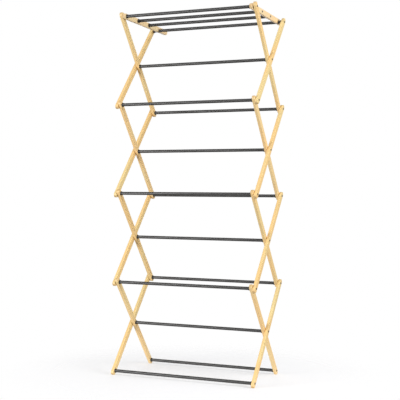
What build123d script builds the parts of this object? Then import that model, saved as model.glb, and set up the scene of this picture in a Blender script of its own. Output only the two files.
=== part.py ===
from build123d import *
import math
import os

# Free-standing folding drying rack: four crossed stages a side, joined by
# hanging rods, with a lift-off shelf on top. Millimetres. +X runs along the
# rods, +Y from front to back, +Z up. The origin is on the floor under the
# middle of the whole rack. Stages and levels are counted from the top.

# ---- Driving dimensions ----
STAGES = 4
SPREAD = 316.0              # front pivot to back pivot, rack open
STAGE_HEIGHT = 371.0        # one row of end pivots to the next, rack open
ROD_SPAN = 580.0            # clear width between the inner strips

STRIP_WIDTH = 22.0
STRIP_THICKNESS = 12.0
END_REACH = 8.0             # end pivot to the centre of the rounded end
EDGE_ROUND = 1.5

ROD_RADIUS = 6.5
TUBE_WALL = 0.7
FLANGE_RADIUS = 8.1         # collar of the plug in each rod end
FLANGE_THICKNESS = 6.0
FLANGE_ROUND = 1.0
PLUG_DEPTH = 22.0
PLUG_CLEARANCE = 0.05

SHANK_RADIUS = 2.0
SCREW_BITE = 20.0           # how far a screw reaches into its plug
HEAD_RADIUS = 4.2
HEAD_HEIGHT = 2.4
RECESS_LENGTH = 4.4
RECESS_WIDTH = 0.9
RECESS_DEPTH = 1.3
PIVOT_HOLE_RADIUS = 2.1
OPEN_PIVOT_HOLE_RADIUS = 2.4    # crossings of the upper stages
THREAD_CLEARANCE = 0.05

WASHER_RADIUS = 7.0
WASHER_THICKNESS = 1.0
SPACER_THICKNESS = 2.3
SLIDING_GAP = 0.1           # between faces that turn against each other

ARM_OVERHANG = 88.0         # back top rod to the tip of a shelf arm
NOTCH_OFFSET = 5.5          # back top rod below the line of the shelf rods
NOTCH_GAP = 0.4             # round the rod that sits in the notch
NOTCH_RUNOUT = 20.0         # past the notch's mouth, for cutting it
NOTCH_FRONT_EASE = 1.0      # how far the notch's front wall leans
SHELF_RATE = 2.0            # turn of the shelf against that of one strip

# ---- Worked-out sizes ----
PIVOT_LENGTH = math.hypot(SPREAD, STAGE_HEIGHT)
LEAN = math.degrees(math.atan2(SPREAD, STAGE_HEIGHT))
END_RADIUS = STRIP_WIDTH / 2
LEAN_COS = STAGE_HEIGHT / PIVOT_LENGTH

INNER_FACE = ROD_SPAN / 2
INNER_BACK = INNER_FACE + STRIP_THICKNESS
OUTER_FACE = INNER_BACK + WASHER_THICKNESS + 2 * SLIDING_GAP
OUTER_BACK = OUTER_FACE + STRIP_THICKNESS
ARM_BACK = INNER_FACE - SPACER_THICKNESS - 2 * SLIDING_GAP
ARM_FACE = ARM_BACK - STRIP_THICKNESS

FOOT_HEIGHT = END_RADIUS + END_REACH * LEAN_COS
RISE_SIN = NOTCH_OFFSET / SPREAD
RISE_COS = math.sqrt(1 - RISE_SIN**2)
ARM_RISE = math.degrees(math.asin(RISE_SIN))
NOTCH_REACH = SPREAD * RISE_COS         # shelf hinge to the notch, along the arm
ARM_END = NOTCH_REACH + ARM_OVERHANG - END_RADIUS

# The shelf arms reach furthest, to the front and to the back.
FRONT_EDGE = -SPREAD / 2 - END_REACH * RISE_COS - END_RADIUS
BACK_EDGE = -SPREAD / 2 + ARM_END * RISE_COS + END_RADIUS
MIDDLE_Y = -(FRONT_EDGE + BACK_EDGE) / 2
FRONT_Y = MIDDLE_Y - SPREAD / 2
BACK_Y = MIDDLE_Y + SPREAD / 2


def level_height(level):
    """Height of a row of end pivots: level 0 is the top, STAGES the floor."""
    return FOOT_HEIGHT + (STAGES - level) * STAGE_HEIGHT


def front_pivot(level):
    return (FRONT_Y, level_height(level))


def back_pivot(level):
    return (BACK_Y, level_height(level))


def centre_pivot(stage):
    return (MIDDLE_Y, (level_height(stage - 1) + level_height(stage)) / 2)


# ---- Shapes, each lying along +X from x = 0 outwards ----
def plate(outline, holes):
    """A wooden strip of the given outline in Y and Z, with (y, z, radius) holes."""
    board = extrude(Plane.YZ * outline, STRIP_THICKNESS)
    board = fillet(board.edges().filter_by(Plane.YZ), EDGE_ROUND)
    for y, z, radius in holes:
        drill = Plane.YZ.offset(-1) * Pos(y, z) * Circle(radius)
        board -= extrude(drill, STRIP_THICKNESS + 2)
    return board


def scissor_strip(centre_hole_radius):
    """One upright strip, about the pivot at its middle."""
    outline = Rot(0, 0, 90) * SlotCenterToCenter(PIVOT_LENGTH + 2 * END_REACH, STRIP_WIDTH)
    half = PIVOT_LENGTH / 2
    holes = [
        (0, -half, PIVOT_HOLE_RADIUS),
        (0, 0, centre_hole_radius),
        (0, half, PIVOT_HOLE_RADIUS),
    ]
    return plate(outline, holes)


def shelf_arm():
    """One shelf arm lying level, about its hinge at the front, notched over the back rod."""
    middle = (ARM_END - END_REACH) / 2
    outline = Pos(middle, 0) * SlotCenterToCenter(ARM_END + END_REACH, STRIP_WIDTH)
    seat = (NOTCH_REACH, -NOTCH_OFFSET)
    exit_run = NOTCH_RUNOUT * STAGE_HEIGHT / (SHELF_RATE * SPREAD)
    corners = [
        seat,
        (seat[0] - NOTCH_FRONT_EASE, seat[1] - NOTCH_RUNOUT),
        (seat[0] + exit_run, seat[1] - NOTCH_RUNOUT),
    ]
    rounds = Sketch() + [Pos(*corner) * Circle(ROD_RADIUS + NOTCH_GAP) for corner in corners]
    outline -= make_hull(rounds.edges())
    return plate(outline, [(y, 0, PIVOT_HOLE_RADIUS) for y in [0] + shelf_rod_places()])


def shelf_rod_places():
    """Shelf rods at thirds of the way from the front rod to the back rod."""
    return [NOTCH_REACH / 3, NOTCH_REACH * 2 / 3]


def ring(outer_radius, inner_radius, length):
    face = Plane.YZ * (Circle(outer_radius) - Circle(inner_radius))
    return extrude(face, length)


def tube(half_length):
    """A rod between x = -half_length and x = half_length."""
    return Pos(-half_length, 0, 0) * ring(ROD_RADIUS, ROD_RADIUS - TUBE_WALL, 2 * half_length)


def plug():
    """A flanged plug whose flange ends at x = 0 and whose stem runs to -X."""
    bore = SHANK_RADIUS + THREAD_CLEARANCE
    flange = Pos(-FLANGE_THICKNESS, 0, 0) * ring(FLANGE_RADIUS, bore, FLANGE_THICKNESS)
    rim = flange.edges().filter_by(GeomType.CIRCLE).sort_by(SortBy.RADIUS)[-2:]
    flange = fillet(rim, FLANGE_ROUND)
    stem_radius = ROD_RADIUS - TUBE_WALL - PLUG_CLEARANCE
    stem = Pos(-FLANGE_THICKNESS - PLUG_DEPTH, 0, 0) * ring(stem_radius, bore, PLUG_DEPTH)
    return flange + stem


def screw(grip):
    """A cross-recessed screw: head underside at x = 0, shank to -X through grip and a plug."""
    length = grip + SCREW_BITE
    shank = Pos(-length, 0, 0) * extrude(Plane.YZ * Circle(SHANK_RADIUS), length + HEAD_HEIGHT / 2)
    side_height = HEAD_HEIGHT / 4
    profile = make_face(
        Polyline((0, 0), (0, HEAD_RADIUS), (side_height, HEAD_RADIUS))
        + ThreePointArc(
            (side_height, HEAD_RADIUS),
            (HEAD_HEIGHT * 0.8, HEAD_RADIUS * 0.6),
            (HEAD_HEIGHT, 0),
        )
        + Line((HEAD_HEIGHT, 0), (0, 0))
    )
    head = revolve(profile, Axis.X)
    slot = Pos(HEAD_HEIGHT, 0, 0) * Box(2 * RECESS_DEPTH, RECESS_LENGTH, RECESS_WIDTH)
    return head + shank - slot - Rot(90, 0, 0) * slot


def washer(thickness):
    return ring(WASHER_RADIUS, PIVOT_HOLE_RADIUS, thickness)


# ---- Placing ----
def both_sides(shape, x, pivot):
    """The shape at x on the right, and its mirror image on the left."""
    right = Pos(x, *pivot) * shape
    return [mirror(right, Plane.YZ), right]


parts = {}


def add_group(name, solids):
    parts[name] = Compound(children=solids)


def add_strips(layer, stage, face, lean, centre_hole_radius):
    strip = Rot(lean, 0, 0) * scissor_strip(centre_hole_radius)
    left, right = both_sides(strip, face, centre_pivot(stage))
    parts[f"left_{layer}_strip_{stage}"] = left
    parts[f"right_{layer}_strip_{stage}"] = right


def add_rod(name, pivot, face):
    parts[name] = Pos(0, *pivot) * tube(face - FLANGE_THICKNESS)


def end_fittings(pivots, face, grip, head_gap):
    """Plugs against the strips' inner faces, and the screws that reach them."""
    plugs = []
    screws = []
    for pivot in pivots:
        plugs += both_sides(plug(), face, pivot)
        screws += both_sides(screw(grip + head_gap), face + grip + head_gap, pivot)
    return plugs, screws


for stage in range(1, STAGES + 1):
    open_crossing = stage < STAGES
    hole = OPEN_PIVOT_HOLE_RADIUS if open_crossing else PIVOT_HOLE_RADIUS
    add_strips("inner", stage, INNER_FACE, LEAN, PIVOT_HOLE_RADIUS)
    add_strips("outer", stage, OUTER_FACE, -LEAN, hole)

    # Rods between the inner strips: centre, lower back and, below the top, upper front.
    body = f"inner_{stage}"
    centre = centre_pivot(stage)
    back = back_pivot(stage)
    add_rod(f"centre_rod_{stage}", centre, INNER_FACE)
    back_name = f"back_rod_{stage}" if stage < STAGES else "bottom_back_rod"
    add_rod(back_name, back, INNER_FACE)
    crossings = [centre]
    if stage > 1:
        front = front_pivot(stage - 1)
        add_rod(f"front_rod_{stage - 1}", front, INNER_FACE)
        crossings.append(front)
    if stage < STAGES:
        crossings.append(back)
    double_grip = OUTER_BACK - INNER_FACE
    plugs, screws = end_fittings(crossings, INNER_FACE, double_grip, SLIDING_GAP)
    if stage == STAGES:
        foot_plugs, foot_screws = end_fittings([back], INNER_FACE, STRIP_THICKNESS, 0)
        plugs += foot_plugs
        screws += foot_screws
    add_group(f"{body}_plugs", plugs)
    add_group(f"{body}_screws", screws)
    washers = []
    for pivot in crossings:
        washers += both_sides(washer(WASHER_THICKNESS), INNER_BACK, pivot)
    add_group(f"{body}_washers", washers)

# Rods between the outer strips: the top back one and the bottom front one.
for name, body, pivot in [
    ("top_back_rod", "outer_1", back_pivot(0)),
    ("bottom_front_rod", f"outer_{STAGES}", front_pivot(STAGES)),
]:
    add_rod(name, pivot, OUTER_FACE)
    plugs, screws = end_fittings([pivot], OUTER_FACE, STRIP_THICKNESS, 0)
    add_group(f"{body}_plugs", plugs)
    add_group(f"{body}_screws", screws)

# The top front rod hinges the shelf: its screws pass an inner strip and an arm.
hinge = front_pivot(0)
hinge_face = ARM_FACE - SLIDING_GAP
add_rod("top_front_rod", hinge, hinge_face)
plugs, screws = end_fittings([hinge], hinge_face, INNER_BACK - hinge_face, SLIDING_GAP)
add_group("top_front_plugs", plugs)
add_group("top_front_screws", screws)
spacers = both_sides(washer(SPACER_THICKNESS), ARM_BACK + SLIDING_GAP, hinge)
add_group("top_front_spacers", spacers)

# The shelf: two arms and two rods, resting on the top back rod.
arm = Rot(ARM_RISE, 0, 0) * shelf_arm()
left_arm, right_arm = both_sides(arm, ARM_FACE, hinge)
parts["left_shelf_arm"] = left_arm
parts["right_shelf_arm"] = right_arm
shelf_pivots = []
for number, place in enumerate(shelf_rod_places(), start=1):
    pivot = (hinge[0] + place * RISE_COS, hinge[1] + place * RISE_SIN)
    add_rod(f"shelf_rod_{number}", pivot, ARM_FACE)
    shelf_pivots.append(pivot)
plugs, screws = end_fittings(shelf_pivots, ARM_FACE, STRIP_THICKNESS, 0)
add_group("shelf_plugs", plugs)
add_group("shelf_screws", screws)

# ---- Files ----
os.makedirs("parts", exist_ok=True)
for name, shape in parts.items():
    export_step(shape, f"parts/{name}.step")
box = Compound(children=list(parts.values())).bounding_box()
print(len(parts), "nodes; lean", round(LEAN, 3), "degrees; pivot length", round(PIVOT_LENGTH, 2))
print("low", tuple(box.min), "high", tuple(box.max))
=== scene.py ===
import math

import bpy
from mathutils import Matrix, Vector


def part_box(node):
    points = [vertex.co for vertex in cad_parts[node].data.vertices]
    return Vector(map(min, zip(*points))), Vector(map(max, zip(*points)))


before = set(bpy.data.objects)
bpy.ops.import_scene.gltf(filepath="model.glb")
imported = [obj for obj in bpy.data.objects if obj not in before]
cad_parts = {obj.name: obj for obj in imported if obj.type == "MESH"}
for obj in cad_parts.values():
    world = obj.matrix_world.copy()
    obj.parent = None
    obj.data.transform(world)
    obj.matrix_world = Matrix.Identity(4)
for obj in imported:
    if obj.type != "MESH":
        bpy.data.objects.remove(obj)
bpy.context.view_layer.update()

# ---- Camera: where it stands, seen from the middle of the rack. Lengths are in metres. ----
CAMERA_DISTANCE = 3.773
CAMERA_AZIMUTH = math.radians(22.8)     # to the right of straight on
CAMERA_PITCH = math.radians(0.73)       # upwards
CAMERA_ROLL = math.radians(0.86)
CAMERA_LENS = 80.4                      # millimetres, as is the sensor's width
SENSOR_WIDTH = 36.0
CAMERA_REACH = 100.0                    # how far away it still sees things
TARGET_SIDEWAYS = 0.0037                # to the right of the plane that halves the rack
TARGET_HEIGHT = 0.7364


def middle_of(node):
    low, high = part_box(node)
    return (low + high) / 2


# ---- The rack's pivots, which the grain and the camera are set out from ----
top_front = middle_of("top_front_rod")
top_back = middle_of("top_back_rod")
top_centre = middle_of("centre_rod_1")
shelf_rod = middle_of("shelf_rod_1")
STRIP_LEAN = math.atan2(top_back.y - top_centre.y, top_back.z - top_centre.z)
ARM_RISE = math.atan2(shelf_rod.z - top_front.z, shelf_rod.y - top_front.y)
HALF_WIDTH = 0.011                      # of every strip and arm
HALF_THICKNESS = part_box("left_shelf_arm")[1].x - middle_of("left_shelf_arm").x


# ---- Node helpers ----
class Graph:
    """A material's node tree, with short ways to add and link nodes."""

    def __init__(self, name):
        self.material = bpy.data.materials.new(name)
        self.material.use_nodes = True
        self.nodes = self.material.node_tree.nodes
        self.links = self.material.node_tree.links
        self.shader = self.nodes["Principled BSDF"]

    def node(self, kind, inputs=None, **settings):
        node = self.nodes.new(kind)
        for key, value in settings.items():
            setattr(node, key, value)
        for key, value in (inputs or {}).items():
            self.put(value, node.inputs[key])
        return node

    def put(self, value, socket):
        if isinstance(value, bpy.types.NodeSocket):
            self.links.new(value, socket)
        else:
            socket.default_value = value

    def set(self, **inputs):
        """Sets the shader's inputs. Their names are written with _ for each space."""
        for key, value in inputs.items():
            self.put(value, self.shader.inputs[key.replace("_", " ")])

    def coordinates(self):
        return self.node("ShaderNodeTexCoord").outputs

    def mapped(self, vector, location=(0, 0, 0), rotation=(0, 0, 0), scale=(1, 1, 1)):
        inputs = {"Vector": vector, "Location": location, "Rotation": rotation, "Scale": scale}
        return self.node("ShaderNodeMapping", inputs).outputs["Vector"]

    def stretched(self, vector, rate):
        """Makes a pattern change along Z at that rate, against 1 across it."""
        return self.mapped(vector, scale=(1, 1, rate))

    def noise(self, vector, scale, detail=2.0, roughness=0.5):
        inputs = {"Vector": vector, "Scale": scale, "Detail": detail, "Roughness": roughness}
        return self.node("ShaderNodeTexNoise", inputs).outputs["Fac"]

    def calc(self, operation, first, second=0.0):
        node = self.node("ShaderNodeMath", {0: first, 1: second}, operation=operation)
        return node.outputs[0]

    def times(self, first, second):
        return self.calc("MULTIPLY", first, second)

    def spread(self, value, low, high, to_low=0.0, to_high=1.0, kind="LINEAR"):
        inputs = {
            "Value": value,
            "From Min": low,
            "From Max": high,
            "To Min": to_low,
            "To Max": to_high,
        }
        return self.node("ShaderNodeMapRange", inputs, interpolation_type=kind).outputs["Result"]

    def mix(self, factor, first, second):
        node = self.node("ShaderNodeMix", data_type="RGBA")
        self.put(factor, node.inputs["Factor"])
        self.put(first, node.inputs[6])
        self.put(second, node.inputs[7])
        return node.outputs[2]

    def bump(self, height, strength, distance):
        inputs = {"Height": height, "Strength": strength, "Distance": distance}
        return self.node("ShaderNodeBump", inputs).outputs["Normal"]


# ---- Wood: its tones, how they vary from piece to piece, its patterns, and a painted highlight on its edges ----
PALE_WOOD = (0.815, 0.66, 0.325, 1)
LATE_WOOD = (0.64, 0.455, 0.175, 1)
WARM_WOOD = (0.82, 0.53, 0.21, 1)
CREAM_WOOD = (0.90, 0.73, 0.54, 1)
PEACH_WOOD = (0.88, 0.58, 0.31, 1)
PORE_BROWN = (0.36, 0.21, 0.08, 1)
END_GRAIN = (0.47, 0.29, 0.12, 1)
# a painted highlight: the paler tone laid along the pieces' long edges
EDGE_HIGHLIGHT_TONE = (0.84, 0.68, 0.42, 1)
ARM_TINT = 0.35                         # how far the arms lean towards the cream tone
STRIP_TINT = 0.32                       # how far the most tinted strip leans towards its tone

GOLDEN_ANGLE = math.radians(137.5)      # spreads the pieces' grain evenly round the log
HEART_DISTANCE = 0.055                  # from the piece to the middle of the log it was cut from
LOG_STEP = 0.7                          # along the log, from one piece to the next
RING_SPACING = 0.0026
RINGS_AT_SCALE_ONE = 20.0               # the ring texture's rings in each 2 pi units
RING_WANDER = 3.0
EDGE_BAND = 0.0022                      # how far in from an edge the painted highlight reaches

# Details in each metre across the grain, and how much slower each changes along it.
FIBRES, FIBRE_RATE = 1100.0, 0.02
STREAKS, STREAK_RATE = 190.0, 0.03
PATCHES, PATCH_RATE = 22.0, 0.25
PORES, PORE_RATE = 700.0, 0.1
# the painted edge highlight is broken into patches at this rate
EDGE_HIGHLIGHT_PATCHES = 60.0
RING_RATE = 0.045

# How much of its own tone each detail shows at its strongest.
RING_SHARE = 0.55
STREAK_SHARE = 0.6
PATCH_SHARE = 0.8
FIBRE_SHARE = 0.22
PORE_SHARE = 0.26
# the painted edge highlight at its strongest
EDGE_HIGHLIGHT_SHARE = 0.5
END_SHARE = 0.6

WOOD_ROUGHNESS = (0.42, 0.56)           # from the smoothest fibres to the coarsest
END_ROUGHER = 0.15
WOOD_RELIEF = 0.00008


def near_edge(g, place, half):
    """0 over the middle of a face, and up to 1 at its edges, half a width away."""
    return g.spread(g.calc("ABSOLUTE", place), half - EDGE_BAND, half)


def toward(colour, other, share):
    return tuple(a + (b - a) * share for a, b in zip(colour, other))


def growth_rings(g, grain):
    return g.node(
        "ShaderNodeTexWave",
        {
            "Vector": g.stretched(grain, RING_RATE),
            "Scale": 2 * math.pi / (RINGS_AT_SCALE_ONE * RING_SPACING),
            "Distortion": RING_WANDER,
            "Detail": 2.0,
            "Detail Scale": 0.12,
            "Detail Roughness": 0.55,
        },
        wave_type="RINGS",
        rings_direction="Z",
        wave_profile="SAW",
    ).outputs["Fac"]


def wood(name, centre, turn, seed, tint, share):
    """Clear-lacquered pale wood in the piece's own frame, with its grain along Z.

    That frame is at the piece's centre, turned about X by turn. Its three tones lean
    towards the tint by the given share.
    """
    g = Graph(name)
    pale, late, warm = [toward(tone, tint, share) for tone in (PALE_WOOD, LATE_WOOD, WARM_WOOD)]
    space = g.coordinates()
    to_piece = Matrix.Rotation(turn, 3, "X")
    own = g.mapped(space["Object"], location=-(to_piece @ centre), rotation=(turn, 0, 0))
    normal = g.mapped(space["Normal"], rotation=(turn, 0, 0))
    angle = seed * GOLDEN_ANGLE
    heart = (HEART_DISTANCE * math.cos(angle), HEART_DISTANCE * math.sin(angle), LOG_STEP * seed)
    grain = g.mapped(own, location=heart)

    rings = growth_rings(g, grain)
    fibres = g.noise(g.stretched(grain, FIBRE_RATE), FIBRES, 3.0, 0.6)
    streaks = g.noise(g.stretched(grain, STREAK_RATE), STREAKS)
    patches = g.noise(g.stretched(grain, PATCH_RATE), PATCHES)
    pore_cells = {"Vector": g.stretched(grain, PORE_RATE), "Scale": PORES}
    pores = g.spread(g.node("ShaderNodeTexVoronoi", pore_cells).outputs["Distance"], 0.14, 0.04)
    along = g.calc("ABSOLUTE", g.node("ShaderNodeSeparateXYZ", {0: normal}).outputs["Z"])
    end_on = g.spread(along, 0.5, 0.95)
    place = g.node("ShaderNodeSeparateXYZ", {0: own}).outputs
    edge = g.times(near_edge(g, place["X"], HALF_THICKNESS), near_edge(g, place["Y"], HALF_WIDTH))
    # Painted highlight along the long edges, broken into patches.
    highlighted_edges = g.times(edge, g.spread(g.noise(own, EDGE_HIGHLIGHT_PATCHES, 3.0, 0.6), 0.4, 0.65))

    colour = g.mix(g.spread(rings, 0.2, 1.0, 0.0, RING_SHARE), pale, late)
    colour = g.mix(g.spread(streaks, 0.4, 0.75, 0.0, STREAK_SHARE), colour, late)
    colour = g.mix(g.spread(patches, 0.40, 0.60, 0.0, PATCH_SHARE), colour, warm)
    colour = g.mix(g.spread(fibres, 0.35, 0.8, 0.0, FIBRE_SHARE), colour, late)
    colour = g.mix(g.times(pores, PORE_SHARE), colour, PORE_BROWN)
    colour = g.mix(g.times(highlighted_edges, EDGE_HIGHLIGHT_SHARE), colour, EDGE_HIGHLIGHT_TONE)
    colour = g.mix(g.times(end_on, END_SHARE), colour, END_GRAIN)

    ridges = g.calc("ADD", g.times(fibres, 0.7), g.times(rings, 0.3))
    height = g.calc("SUBTRACT", ridges, g.times(pores, 0.5))
    roughness = g.spread(fibres, 0.3, 0.8, *WOOD_ROUGHNESS)
    g.set(
        Base_Color=colour,
        Roughness=g.calc("ADD", roughness, g.times(end_on, END_ROUGHER)),
        Normal=g.bump(height, 0.4, WOOD_RELIEF),
        Coat_Weight=0.15,
        Coat_Roughness=0.35,
    )
    return g.material


# ---- Metal and plastic ----
COAT_DARK = (0.022, 0.021, 0.020, 1)
COAT_LIGHT = (0.030, 0.029, 0.028, 1)
SCUFF_GREY = (0.10, 0.10, 0.10, 1)
SCUFF_SHARE = 0.18
SCUFF_ROUGHER = 0.12
COAT_ROUGHNESS = (0.34, 0.41)
PLASTIC_DARK = (0.010, 0.010, 0.010, 1)
PLASTIC_LIGHT = (0.020, 0.019, 0.019, 1)
PLASTIC_ROUGHNESS = (0.42, 0.56)
STEEL_OXIDE = (0.07, 0.068, 0.066, 1)
STEEL_WORN = (0.32, 0.31, 0.30, 1)
STEEL_ROUGHNESS = (0.30, 0.46)
FINE_RELIEF = 0.00003                   # the depth of the orange peel and the mould texture


def coated_rod():
    """Satin charcoal powder coat with its fine orange peel, and light scuffs from hangers."""
    g = Graph("rod_powder_coat")
    space = g.coordinates()["Object"]
    peel = g.noise(space, 700.0)
    cloud = g.noise(space, 9.0, 3.0, 0.6)
    scuff = g.noise(g.mapped(space, scale=(1, 0.12, 0.12)), 420.0, 4.0, 0.7)
    scuffed = g.times(g.spread(scuff, 0.62, 0.78), g.spread(cloud, 0.45, 0.7))
    coat = g.mix(g.spread(peel, 0.3, 0.7), COAT_DARK, COAT_LIGHT)
    roughness = g.spread(cloud, 0.3, 0.7, *COAT_ROUGHNESS)
    g.set(
        Base_Color=g.mix(g.times(scuffed, SCUFF_SHARE), coat, SCUFF_GREY),
        Roughness=g.calc("ADD", roughness, g.times(scuffed, SCUFF_ROUGHER)),
        Normal=g.bump(peel, 0.05, FINE_RELIEF),
        Specular_IOR_Level=0.52,
    )
    return g.material


def moulded_plastic():
    """Black polymer with a fine matt mould texture."""
    g = Graph("moulded_plastic")
    space = g.coordinates()["Object"]
    grain = g.noise(space, 2200.0, 2.0, 0.6)
    cloud = g.noise(space, 120.0)
    g.set(
        Base_Color=g.mix(cloud, PLASTIC_DARK, PLASTIC_LIGHT),
        Roughness=g.spread(cloud, 0.3, 0.7, *PLASTIC_ROUGHNESS),
        Normal=g.bump(grain, 0.3, FINE_RELIEF),
    )
    return g.material


def blackened_steel():
    """Dark oxide finish, worn bright in small spots."""
    g = Graph("blackened_steel")
    space = g.coordinates()["Object"]
    turned = g.noise(g.mapped(space, scale=(6, 1, 1)), 700.0, 3.0, 0.6)
    worn = g.spread(g.noise(space, 900.0, 3.0, 0.6), 0.58, 0.72)
    g.set(
        Base_Color=g.mix(worn, STEEL_OXIDE, STEEL_WORN),
        Metallic=0.9,
        Roughness=g.spread(turned, 0.3, 0.7, *STEEL_ROUGHNESS),
        Normal=g.bump(turned, 0.2, FINE_RELIEF),
    )
    return g.material


# ---- Which material each CAD node gets ----
def piece_wood(name, seed):
    """The wood of one strip or arm, with its grain along the piece."""
    if name.endswith("_arm"):
        turn, tint, share = math.pi / 2 - ARM_RISE, CREAM_WOOD, ARM_TINT
    else:
        outer = "_outer_" in name
        turn = STRIP_LEAN if outer else -STRIP_LEAN
        tint = WARM_WOOD if outer else PEACH_WOOD
        share = STRIP_TINT * (seed * GOLDEN_ANGLE / (2 * math.pi) % 1)
    return wood("wood_" + name, middle_of(name), turn, seed, tint, share)


def dress_frame():
    """Puts a material in every CAD node's slots."""
    rod = coated_rod()
    plastic = moulded_plastic()
    steel = blackened_steel()
    for seed, name in enumerate(sorted(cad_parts), start=1):
        if name.endswith("_screws"):
            material = steel
        elif name.endswith(("_plugs", "_washers", "_spacers")):
            material = plastic
        elif "_strip_" in name or name.endswith("_arm"):
            material = piece_wood(name, seed)
        else:
            material = rod
        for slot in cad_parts[name].material_slots:
            slot.material = material


# ---- Studio ----
FLOOR_SIZE = 12.0
FLOOR_TONE = (0.50, 0.50, 0.515, 1)
FLOOR_GLOW = 0.465              # keeps the floor nearly as pale as the white behind it
FADE_START = 0.25               # from the middle of the rack, where the floor begins to turn white
FADE_END = 0.90
WHITE = (1, 1, 1, 1)
BACKGROUND = 1.0                # the brightness of the white that the camera sees
AMBIENT = 0.27                  # and of the white that lights the rack


def studio_floor():
    """A pale floor that fades into the white round it, so no horizon shows."""
    mesh = bpy.data.meshes.new("studio_floor")
    half = FLOOR_SIZE / 2
    corners = [(-half, -half, 0), (half, -half, 0), (half, half, 0), (-half, half, 0)]
    mesh.from_pydata(corners, [], [(0, 1, 2, 3)])
    floor = bpy.data.objects.new("studio_floor", mesh)
    bpy.context.scene.collection.objects.link(floor)
    g = Graph("floor_paint")
    space = g.coordinates()["Object"]
    cloud = g.noise(space, 1.5)
    distance = g.node("ShaderNodeVectorMath", {0: space}, operation="LENGTH").outputs["Value"]
    g.set(
        Base_Color=FLOOR_TONE,
        Roughness=g.spread(cloud, 0.3, 0.7, 0.72, 0.82),
        Specular_IOR_Level=0.2,
        Emission_Color=WHITE,
        Emission_Strength=FLOOR_GLOW,
        Alpha=g.spread(distance, FADE_START, FADE_END, 1.0, 0.0, kind="SMOOTHSTEP"),
    )
    mesh.materials.append(g.material)


def soft_box(name, azimuth, distance, height, size, power):
    """An area light that faces the rack.

    The azimuth is 0 straight in front of the rack, and positive to the right.
    """
    data = bpy.data.lights.new(name, "AREA")
    data.shape = "RECTANGLE"
    data.size, data.size_y = size
    data.energy = power
    light = bpy.data.objects.new(name, data)
    aim = Vector((0, 0, TARGET_HEIGHT))
    turn = math.radians(azimuth)
    light.location = (distance * math.sin(turn), -distance * math.cos(turn), height)
    light.rotation_euler = (aim - light.location).to_track_quat("-Z", "Y").to_euler()
    bpy.context.scene.collection.objects.link(light)


def studio_world():
    """White behind the rack for the camera, and a softer fill for everything else."""
    world = bpy.data.worlds.new("studio_world")
    bpy.context.scene.world = world
    world.use_nodes = True
    nodes = world.node_tree.nodes
    links = world.node_tree.links
    background = nodes["Background"]
    background.inputs["Color"].default_value = WHITE
    rays = nodes.new("ShaderNodeLightPath")
    level = nodes.new("ShaderNodeMapRange")
    level.inputs["To Min"].default_value = AMBIENT
    level.inputs["To Max"].default_value = BACKGROUND
    links.new(rays.outputs["Is Camera Ray"], level.inputs["Value"])
    links.new(level.outputs["Result"], background.inputs["Strength"])


def camera():
    data = bpy.data.cameras.new("camera")
    data.sensor_width = SENSOR_WIDTH
    data.lens = CAMERA_LENS
    data.clip_end = CAMERA_REACH
    view = bpy.data.objects.new("camera", data)
    bpy.context.scene.collection.objects.link(view)
    sideways = -math.sin(CAMERA_AZIMUTH) * math.cos(CAMERA_PITCH)
    backwards = math.cos(CAMERA_AZIMUTH) * math.cos(CAMERA_PITCH)
    forward = Vector((sideways, backwards, math.sin(CAMERA_PITCH)))
    level_right = Vector((math.cos(CAMERA_AZIMUTH), math.sin(CAMERA_AZIMUTH), 0))
    level_up = level_right.cross(forward)
    right = level_right * math.cos(CAMERA_ROLL) + level_up * math.sin(CAMERA_ROLL)
    up = right.cross(forward)
    axes = Matrix((right, up, -forward)).transposed().to_4x4()
    target = Vector((TARGET_SIDEWAYS, top_centre.y, TARGET_HEIGHT))
    view.matrix_world = Matrix.Translation(target - forward * CAMERA_DISTANCE) @ axes
    bpy.context.scene.camera = view


dress_frame()
studio_floor()
studio_world()
soft_box("key_right", azimuth=78, distance=3.4, height=1.7, size=(2.0, 2.4), power=114)
soft_box("front_left", azimuth=-32, distance=3.6, height=0.8, size=(1.5, 1.6), power=106)
soft_box("overhead", azimuth=10, distance=1.2, height=3.4, size=(2.6, 2.2), power=28)
soft_box("back_fill", azimuth=200, distance=3.8, height=1.6, size=(2.2, 2.2), power=28)
camera()
bpy.context.scene.view_settings.view_transform = "Standard"
